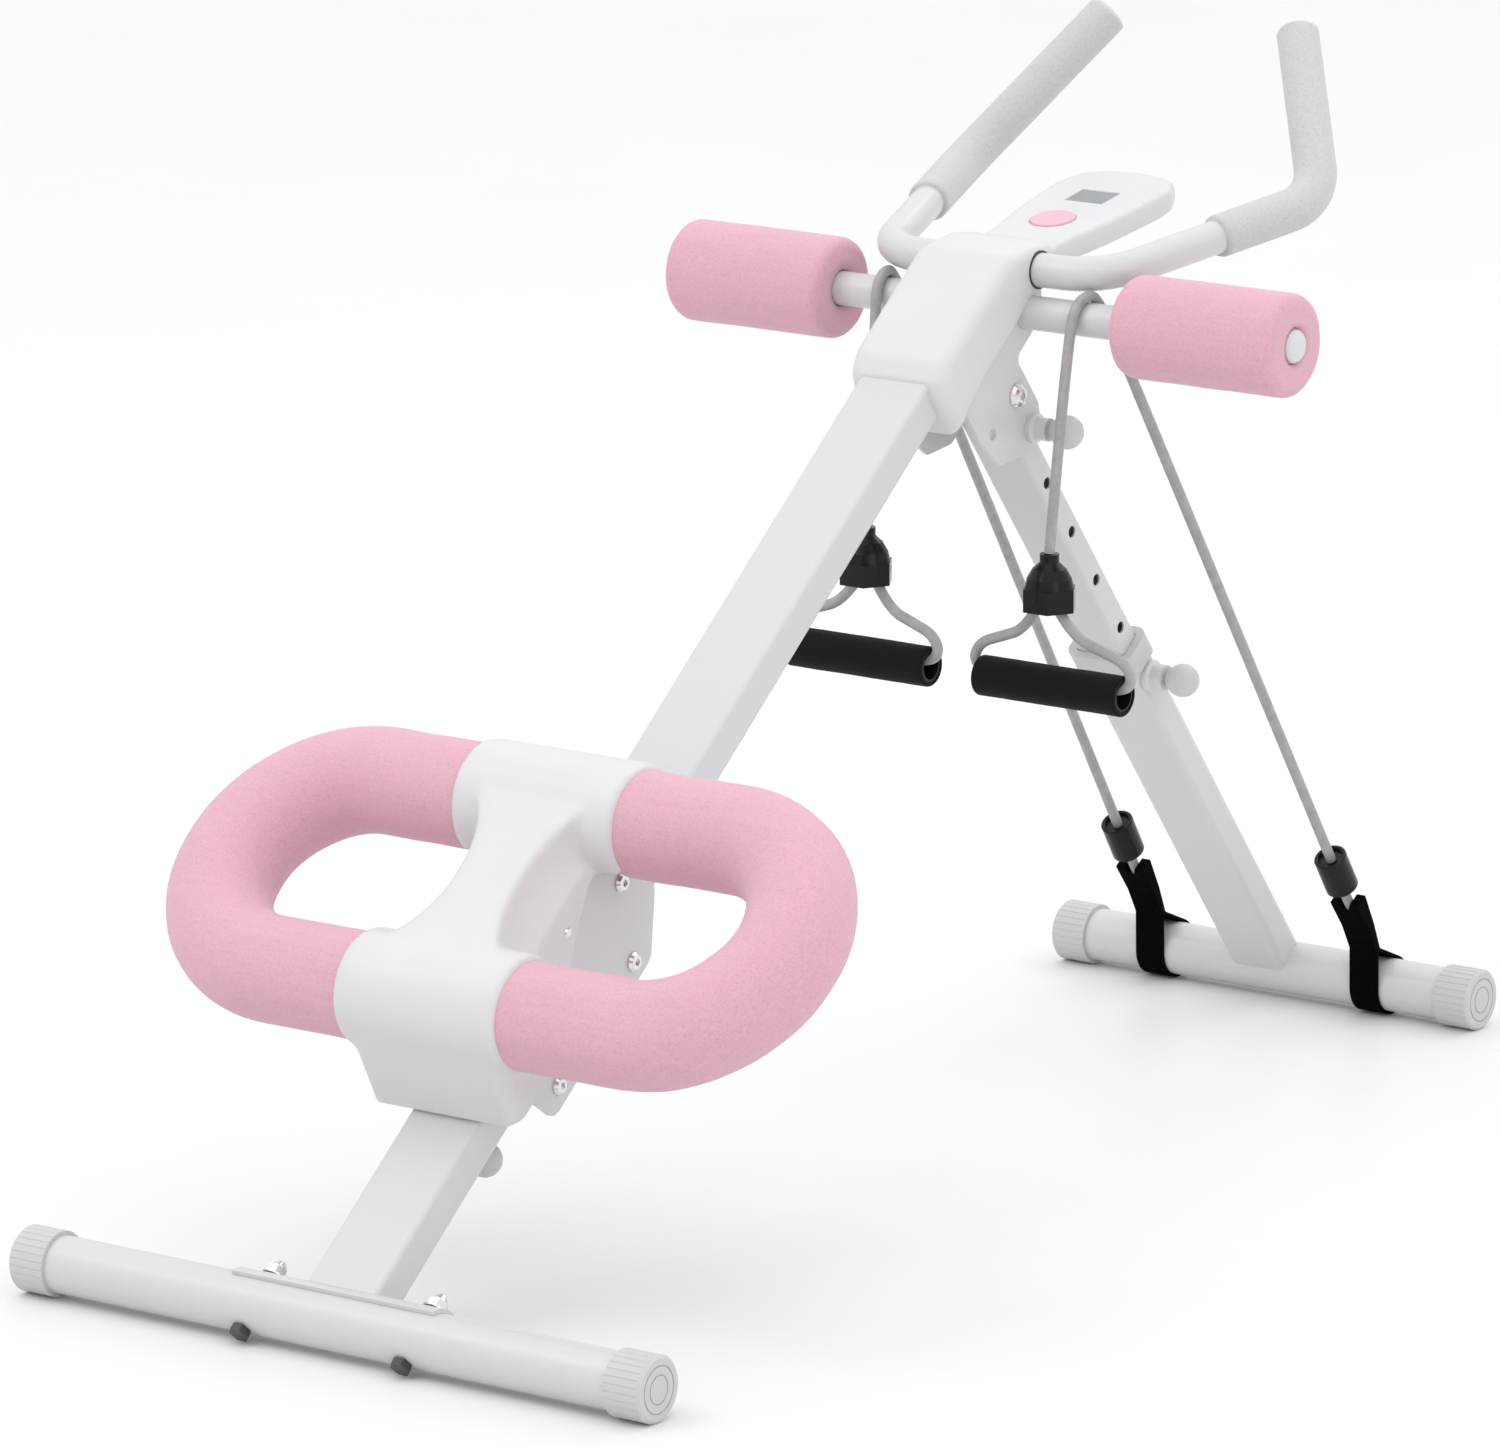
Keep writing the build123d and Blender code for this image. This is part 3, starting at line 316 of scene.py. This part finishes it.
def rounded(points, radii, steps=10):
    """A path through points with an arc of each inner point's radius."""
    path = [Vector(points[0])]
    for before, here, after, radius in zip(points, points[1:], points[2:], radii):
        here = Vector(here)
        run_in = (here - Vector(before)).normalized()
        run_out = (Vector(after) - here).normalized()
        half = run_in.angle(run_out) / 2
        reach = radius * math.tan(half)
        start = here - run_in * reach
        middle = here + (run_out - run_in).normalized() * (radius / math.cos(half))
        normal = run_in.cross(run_out).normalized()
        for i in range(steps + 1):
            turn = Matrix.Rotation(2 * half * i / steps, 3, normal)
            path.append(middle + turn @ (start - middle))
    path.append(Vector(points[-1]))
    return path


def even(path, step):
    """The same path with points about a step apart."""
    out = [path[0]]
    for a, b in zip(path, path[1:]):
        count = max(1, round((b - a).length / step))
        out += [a.lerp(b, i / count) for i in range(1, count + 1)]
    return out


def rings(path, radius_at, sides):
    """Rings of points round a path, turned as little as possible from one to the next."""
    made = []
    tangent = (path[1] - path[0]).normalized()
    side = tangent.orthogonal().normalized()
    for i, point in enumerate(path):
        ahead = path[min(i + 1, len(path) - 1)] - path[max(i - 1, 0)]
        new = ahead.normalized()
        side = (side - new * side.dot(new)).normalized()
        other = new.cross(side)
        radius = radius_at(i)
        made.append([point + (side * math.cos(a) + other * math.sin(a)) * radius
                     for a in (2 * math.pi * k / sides for k in range(sides))])
    return made


def loft(bm, sections):
    """Close a body over a row of sections with the same number of points."""
    rows = [[bm.verts.new(p) for p in section] for section in sections]
    for a, b in zip(rows, rows[1:]):
        for i in range(len(a)):
            j = (i + 1) % len(a)
            bm.faces.new((a[i], a[j], b[j], b[i]))
    bm.faces.new(rows[0])
    bm.faces.new(rows[-1])


def skin(name, loops):
    """A closed mesh over rings of points."""
    bm = bmesh.new()
    loft(bm, loops)
    return from_bmesh(name, bm)


def turned(name, origin, axis, outline, sides=64):
    """A mesh turned about an axis, from (radius, height) in millimetres. A closed outline makes a ring."""
    axis = Vector(axis).normalized()
    side = axis.orthogonal().normalized()
    other = axis.cross(side)
    bm = bmesh.new()
    rows = []
    for k in range(sides):
        a = 2 * math.pi * k / sides
        out = side * math.cos(a) + other * math.sin(a)
        rows.append([bm.verts.new(Vector(origin) + out * (r * MM) + axis * (z * MM))
                     for r, z in outline])
    for k in range(sides):
        a, b = rows[k], rows[(k + 1) % sides]
        for i in range(len(outline)):
            j = (i + 1) % len(outline)
            bm.faces.new((a[i], b[i], b[j], a[j]))
    return from_bmesh(name, bm)


def corner(cx, cy, radius, start, end, steps=6):
    """Points on an arc, for a turned outline."""
    turns = [math.radians(start + (end - start) * i / steps) for i in range(steps + 1)]
    return [(cx + radius * math.cos(a), cy + radius * math.sin(a)) for a in turns]


def roughen(mesh, size, amount):
    """Push each point along its normal by a smooth noise of that size and amount, in millimetres."""
    moved = [v.co + v.normal * (noise.noise(v.co / (size * MM)) * amount * MM) for v in mesh.vertices]
    for vertex, place in zip(mesh.vertices, moved):
        vertex.co = place
    mesh.update()


# ---------------------------------------------------------------- the cords, first
CORD_R = 4.0
BAND = [(81, 153.6, 436), (82, 162, 510), (85, 170.6, 589), (86.5, 174.9, 612.8), (88, 186.8, 621.6),
        (89.98, 201.4, 619), (90.5, 225, 583.2)]
BAND_UPPER = [(90.5, 225, 583.2), (93.5, 360, 378.5)]
BAND_LOWER = [(93.5, 360, 378.5), (97.75, 551, 88.86)]
HANDLE_CORD = [(71, 153.6, 395), (60, 153.6, 377), (39, 153.6, 369), (22, 153.6, 363), (15, 153.6, 351),
               (22, 153.6, 342), (54, 153.6, 341), (115, 153.6, 341), (147, 153.6, 342),
               (154, 153.6, 351), (147, 153.6, 363), (127, 153.6, 369), (102, 153.6, 377), (89, 153.6, 395)]


def cord_curve(name, points, side):
    """A smooth NURBS cord through the route's control points."""
    curve = bpy.data.curves.new(name, "CURVE")
    curve.dimensions = "3D"
    spline = curve.splines.new("NURBS")
    spline.points.add(len(points) - 1)
    for target, (x, y, z) in zip(spline.points, points):
        target.co = (side * x * MM, y * MM, z * MM, 1)
    spline.order_u = 3
    spline.use_endpoint_u = True
    spline.resolution_u = 12
    return curve


def curve_line(curve):
    """The points of a curve's own smooth line."""
    holder = bpy.data.objects.new("line", curve)
    scene.collection.objects.link(holder)
    bpy.context.view_layer.update()
    mesh = bpy.data.meshes.new_from_object(holder)
    line = [v.co.copy() for v in mesh.vertices]
    bpy.data.objects.remove(holder)
    bpy.data.meshes.remove(mesh)
    return line


def length_of(line):
    """The length of a row of points."""
    return sum((b - a).length for a, b in zip(line, line[1:]))


for side, hand in ((-1, "left"), (1, "right")):
    for label, points, lay in (("band_cord", BAND, "taut"), ("handle_cord", HANDLE_CORD, "hanging")):
        curve = cord_curve(f"{hand}_{label}_line", points, side)
        length = length_of(curve_line(curve))
        curve.bevel_depth = CORD_R * MM
        curve.bevel_resolution = 6
        curve.use_fill_caps = True
        curve.materials.append(looks["cord_grey"])
        cord = bpy.data.objects.new(f"{hand}_{label}_piece", curve)
        scene.collection.objects.link(cord)
        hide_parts(f"{hand}_{label}")
        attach(cord, "frame")
    for label, points, upper, lower in (("band_cord_upper", BAND_UPPER, "frame", "upper_leg"),
                                        ("band_cord_lower", BAND_LOWER, "upper_leg", "lower_leg")):
        line = even(curve_line(cord_curve(f"{hand}_{label}_line", points, side)), 0.006)
        mesh = skin(f"{hand}_{label}_tube", rings(line, lambda i: CORD_R * MM, 20))
        cord = piece(f"{hand}_{label}_piece", mesh, "cord_grey", None, f"{hand}_{label}")
        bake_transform(cord)

# ---------------------------------------------------------------- foam pads
roller_low, roller_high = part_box("right_roller_foam")
ROLLER_R = (roller_high.z - roller_low.z) / 2 / MM
ROLLER_LENGTH = (roller_high.x - roller_low.x) / MM
ROLLER_EDGE = 8.5
for side, hand in ((-1, "left"), (1, "right")):
    low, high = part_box(f"{hand}_roller_foam")
    inner = low.x if side > 0 else high.x
    origin = (inner, CROSS_AXIS.y, CROSS_AXIS.z)
    length = ROLLER_LENGTH
    edge = ROLLER_EDGE
    outline = [(12.9, 5.0), (12.9, length - 5.0), (14.5, length - 1.2)]
    outline += [(18 + i * 2.0, length - 0.3 * (1 - (i - 2) ** 2 / 9)) for i in range(5)]
    outline += [(p, length - edge + q) for p, q in corner(ROLLER_R - edge, 0, edge, 90, 0)]
    outline += [(ROLLER_R, length - edge - (length - 2 * edge) * i / 40) for i in range(1, 40)]
    outline += [(p, edge + q) for p, q in corner(ROLLER_R - edge, 0, edge, 0, -90)]
    outline += [(22, 0.0), (14.5, 1.2)]
    mesh = turned(f"{hand}_roller_pad", origin, (side, 0, 0), outline, 96)
    roughen(mesh, 22, 0.35)
    pad = piece(f"{hand}_roller_pad", mesh, "pink_foam", f"{hand}_foot_roller", f"{hand}_roller_foam")

# Knee loops: foam tubes round each loop of the carriage's frame.
ARM_S = (222.0, 394.7)
ARM_H = 76.0
LOOP_R = (ARM_S[1] - ARM_S[0]) / 2
LOOP_S = (ARM_S[1] + ARM_S[0]) / 2
LOOP_STRAIGHT = 150.2
KNEE_FOAM_R = 37.9
KNEE_FOAM_IN = 62.0


def knee_path(side):
    """The middle line of one knee loop's foam, from the cover out, round and back."""
    points = [rail(side * (KNEE_FOAM_IN + 2), ARM_S[0], ARM_H), rail(side * LOOP_STRAIGHT, ARM_S[0], ARM_H)]
    for i in range(1, 48):
        a = math.pi * i / 48
        reach = LOOP_STRAIGHT + LOOP_R * math.sin(a)
        points.append(rail(side * reach, LOOP_S - LOOP_R * math.cos(a), ARM_H))
    points += [rail(side * LOOP_STRAIGHT, ARM_S[1], ARM_H), rail(side * (KNEE_FOAM_IN + 2), ARM_S[1], ARM_H)]
    return even(points, 0.004)


for side, hand in ((-1, "left"), (1, "right")):
    mesh = skin(f"{hand}_knee_pad", rings(knee_path(side), lambda i: KNEE_FOAM_R * MM, 72))
    roughen(mesh, 30, 0.5)
    pad = piece(f"{hand}_knee_pad", mesh, "pink_foam", "carriage", f"{hand}_knee_foam")

# ---------------------------------------------------------------- handlebar sleeves
BAR_Y, BAR_Z = 197.1, 634.3
HANDLEBAR = [(6.0, BAR_Y, BAR_Z), (96.3, BAR_Y, BAR_Z), (156.2, 395.6, 668.7), (84.8, 477.0, 774.7)]
GRIP_SHARE = 0.52
GRIP_R = 15.9
DOME_RISE = 5.0
for side, hand in ((-1, "left"), (1, "right")):
    points = [Vector((side * x, y, z)) * MM for x, y, z in HANDLEBAR]
    start = points[1].lerp(points[2], GRIP_SHARE)
    path = even(rounded([start, points[2], points[3]], [0.052], 16), 0.003)
    tip = (path[-1] - path[-2]).normalized()
    count = len(path)
    turns = [math.pi / 2 * i / 8 for i in range(1, 8)]
    dome = [(GRIP_R * math.cos(a) * MM, DOME_RISE * math.sin(a) * MM) for a in turns]
    path += [path[-1] + tip * rise for _, rise in dome]
    radii = [GRIP_R * MM] * count + [r for r, _ in dome]
    radii[0] = (GRIP_R - 1.2) * MM
    mesh = skin(f"{hand}_handlebar_sleeve", rings(path, lambda i: radii[i], 48))
    roughen(mesh, 18, 0.15)
    sleeve = piece(f"{hand}_handlebar_sleeve", mesh, "grey_foam", "frame", "handlebar_foams")

# ---------------------------------------------------------------- hand grips
GRIP_HALF = 62.5
GRIP_X, GRIP_Y, GRIP_Z = 84.5, 153.6, 338.0
for side, hand in ((-1, "left"), (1, "right")):
    outline = [(11.5, -GRIP_HALF)] + [(p, -GRIP_HALF + 1.8 + q) for p, q in corner(13.2, 0, 1.8, -90, 0, 4)]
    outline += [(15.0, -GRIP_HALF + 3 + (2 * GRIP_HALF - 6) * i / 30) for i in range(1, 30)]
    outline += [(p, GRIP_HALF - 1.8 + q) for p, q in corner(13.2, 0, 1.8, 0, 90, 4)] + [(11.5, GRIP_HALF)]
    mesh = turned(f"{hand}_hand_grip", (side * GRIP_X * MM, GRIP_Y * MM, GRIP_Z * MM), (1, 0, 0), outline, 48)
    roughen(mesh, 14, 0.2)
    grip = piece(f"{hand}_hand_grip", mesh, "black_foam", "frame", "band_grips")

# ---------------------------------------------------------------- the moulded covers


def applied(holder):
    """A new mesh with the holder's modifiers applied. The holder is removed."""
    bpy.context.view_layer.update()
    graph = bpy.context.evaluated_depsgraph_get()
    mesh = bpy.data.meshes.new_from_object(holder.evaluated_get(graph))
    bpy.data.objects.remove(holder)
    return mesh


def holder_of(bm, name="shape"):
    """An object that holds the mesh while modifiers work on it."""
    holder = bpy.data.objects.new(name, from_bmesh(name, bm))
    scene.collection.objects.link(holder)
    return holder


def blended(bm, voxel, passes):
    """The outer skin of overlapping bodies, remeshed and smoothed so that their joins flow."""
    holder = holder_of(bm)
    remesh = holder.modifiers.new("remesh", "REMESH")
    remesh.mode = "VOXEL"
    remesh.voxel_size = voxel
    soften = holder.modifiers.new("soften", "SMOOTH")
    soften.factor = 0.5
    soften.iterations = passes
    return applied(holder)


def cut(mesh, bm):
    """The mesh less the bodies in bm."""
    holder = bpy.data.objects.new("kept", mesh)
    scene.collection.objects.link(holder)
    tool = holder_of(bm, "tool")
    away = holder.modifiers.new("away", "BOOLEAN")
    away.operation = "DIFFERENCE"
    away.solver = "EXACT"
    away.object = tool
    result = applied(holder)
    bpy.data.objects.remove(tool)
    return result


def prism(bm, outline, half):
    """A body across the machine over (s, h) points."""
    loft(bm, [[rail(x, s, h) for s, h in outline] for x in (-half, half)])


def drum(bm, s, h, radius, half, edge, sides=64):
    """A cylinder across the machine with rounded ends."""
    profile = corner(-half + edge, radius - edge, edge, 180, 90)
    profile += [(-x, r) for x, r in reversed(profile)]
    rows = []
    for x, r in profile:
        rows.append([rail(x, s + r * math.cos(b), h + r * math.sin(b))
                     for b in (2 * math.pi * k / sides for k in range(sides))])
    loft(bm, rows)


SOCKET_R = 42.5
SOCKET_HALF = 69
COVER_VOXEL = 0.0022
COVER_CUT = [(130, 17.5), (252, 20), (300, 38), (345, 68), (372, 74), (460, 74), (460, -80), (130, -80)]
WAIST_FROM, WAIST_TO = 218, 399
WAIST_HEIGHTS = (-20, 30, 60, 75, 80, 85, 90, 95, 100, 105, 110)


def cover_half_width(s, h):
    """How far the cover's waist reaches to each side, at s up the rail and h off it."""
    flare = min(1.0, abs(s - LOOP_S) / LOOP_R) ** 2.3
    top = 27 + 41 * flare
    low = 44.5 + 19.5 * flare
    if h >= 75:
        t = min(1.0, (h - 75) / 38)
        return low + (top - low) * (1 - (1 - t) ** 2.2)
    return low


def waist(bm):
    """The saddle between the two sockets, from sections along the rail."""
    sections = []
    for i in range(33):
        s = WAIST_FROM + (WAIST_TO - WAIST_FROM) * i / 32
        top = 118 - 7 * (1 - (abs(s - LOOP_S) / 90) ** 2)
        right = [(cover_half_width(s, h), h) for h in WAIST_HEIGHTS if h < top - 2]
        right.append((cover_half_width(s, top - 2), top - 2))
        while len(right) < 13:
            x, h = right[-1]
            right.append((x * 0.8, top))
        ring = right + [(-x, h) for x, h in reversed(right)]
        sections.append([rail(x, s, h) for x, h in ring])
    loft(bm, sections)


def nose(bm):
    """The sloping front below the front socket, with small side facets."""
    sections = []
    for x, inset in ((-64.5, 9), (-57, 0), (57, 0), (64.5, 9)):
        sections.append([rail(x, s, h) for s, h in
                         ((166 + inset, 8), (181 + inset, 84), (222, 112), (262, 84), (262, 8))])
    loft(bm, sections)


def cover_mesh():
    """The carriage's cover: sockets for the knee loops, a saddle between, and a cut lower edge."""
    bm = bmesh.new()
    for s in ARM_S:
        drum(bm, s, ARM_H, SOCKET_R, SOCKET_HALF, 5)
    waist(bm)
    nose(bm)
    outer = blended(bm, COVER_VOXEL, 14)
    under = bmesh.new()
    prism(under, COVER_CUT, 100)
    return cut(outer, under)


BUTTON_MIDDLE = centre("console_button")
FACE_RISE = 1.65
CONSOLE_UP = -Vector(joints["button_press"]["axis"]).normalized()
CONSOLE_ALONG = CONSOLE_UP.cross(ACROSS)
if CONSOLE_ALONG.y < 0:
    CONSOLE_ALONG = -CONSOLE_ALONG


def console(x, t, up):
    """A point x across, t along the console from its button and up off its face, from millimetres."""
    return BUTTON_MIDDLE + ACROSS * (x * MM) + CONSOLE_ALONG * (t * MM) + CONSOLE_UP * ((up + FACE_RISE) * MM)


def console_ring(inset, up, front):
    """The console's outline at one height."""
    right = [(34 - inset, front), (36 - inset, -30), (43.5 - inset, 12), (47.6 - inset, 54), (49 - inset, 74),
             (47.5 - inset, 88), (39 - inset * 0.8, 106 - inset * 0.6)]
    right += [((39 - inset * 0.8) * (1 - i / 6), 106 - inset * 0.6 + 9 * (1 - (1 - i / 6) ** 2))
              for i in range(1, 6)]
    ring = [console(x, t, up) for x, t in right] + [console(0, 115.5 - inset * 0.6, up)]
    return ring + [console(-x, t, up) for x, t in reversed(right)]


CONSOLE_FRONT = -70
BUTTON_WELL_R = 17.4
WINDOW_HALF = (16.5, 13)
WINDOW_ALONG = 53
CASING_S, CASING_H = 930, -3
CASING_VOXEL = 0.0019
CASING = [(853, -36), (851, 2), (858, 17), (872, 24.5), (925, 25), (978, 24.5), (1010, 5), (1027, -13),
          (1008, -35), (986, -27), (900, -27)]


def casing_mesh():
    """The head casing with its console, and the recesses for the button and the display."""
    bm = bmesh.new()
    sections = []
    for x, inset in ((-42, 11), (-40.6, 6), (-37, 2), (-32, 0), (32, 0), (37, 2), (40.6, 6), (42, 11)):
        sections.append([rail(x, CASING_S + (s - CASING_S) * (1 - inset / 88),
                              CASING_H + (h - CASING_H) * (1 - inset / 32)) for s, h in CASING])
    loft(bm, sections)
    heights = ((3.5, -20), (0.4, -15), (0, -6), (1.2, -1.2), (3.0, 0.0))
    loft(bm, [console_ring(inset, up, CONSOLE_FRONT) for inset, up in heights])
    outer = blended(bm, CASING_VOXEL, 22)
    recess = bmesh.new()
    turns = [2 * math.pi * k / 64 for k in range(64)]
    well = [(BUTTON_WELL_R * math.cos(a), BUTTON_WELL_R * math.sin(a)) for a in turns]
    loft(recess, [[console(x, t, up) for x, t in well] for up in (-4, 4)])
    wide, deep = WINDOW_HALF
    window = ((-wide, -deep), (wide, -deep), (wide, deep), (-wide, deep))
    loft(recess, [[console(x, WINDOW_ALONG + t, up) for x, t in window] for up in (-1, 4)])
    return cut(outer, recess)


piece("saddle_cover", cover_mesh(), "white_plastic", "carriage", "carriage_cover")
piece("head_cover", casing_mesh(), "white_plastic", "frame", "head_casing", "console_underside")

# ---------------------------------------------------------------- the stage
floor = bpy.data.objects.new("floor", bpy.data.meshes.new("floor"))
bm = bmesh.new()
bmesh.ops.create_grid(bm, x_segments=1, y_segments=1, size=40)
bm.to_mesh(floor.data)
bm.free()
scene.collection.objects.link(floor)
pale = Nodes("pale_floor")
pale.link(pale.ramp(pale.noise(3, 3), [(0.2, (0.80, 0.80, 0.80)), (0.8, (0.82, 0.82, 0.82))]),
          pale.shader.inputs["Base Color"])
floor.data.materials.append(pale.done(Roughness=0.45, Specular_IOR_Level=0.25))

world = bpy.data.worlds.new("studio")
scene.world = world
world.use_nodes = True
sky = world.node_tree
height = sky.nodes.new("ShaderNodeSeparateXYZ")
sky.links.new(sky.nodes.new("ShaderNodeTexCoord").outputs["Generated"], height.inputs["Vector"])
dome = sky.nodes.new("ShaderNodeValToRGB")
dome.color_ramp.elements[0].color = (0.55, 0.555, 0.565, 1)
dome.color_ramp.elements[1].color = (0.99, 0.99, 1.0, 1)
sky.links.new(height.outputs["Z"], dome.inputs["Fac"])
sky.links.new(dome.outputs["Color"], sky.nodes["Background"].inputs["Color"])
sky.nodes["Background"].inputs["Strength"].default_value = 1.38
scene.view_settings.view_transform = "Standard"


def area(name, place, target, size, power):
    """A soft square light."""
    data = bpy.data.lights.new(name, "AREA")
    data.shape = "RECTANGLE"
    data.size, data.size_y = size
    data.energy = power
    lamp = bpy.data.objects.new(name, data)
    scene.collection.objects.link(lamp)
    lamp.location = place
    lamp.rotation_euler = (Vector(target) - Vector(place)).to_track_quat("-Z", "Y").to_euler()


area("key", (-1.6, -2.2, 3.4), (0, 0, 0.3), (2.2, 2.2), 24)
area("back", (0.6, 3.0, 2.6), (0, 0, 0.4), (2.6, 1.6), 15)
area("fill", (3.2, -1.2, 1.8), (0, 0, 0.3), (1.8, 1.8), 12)
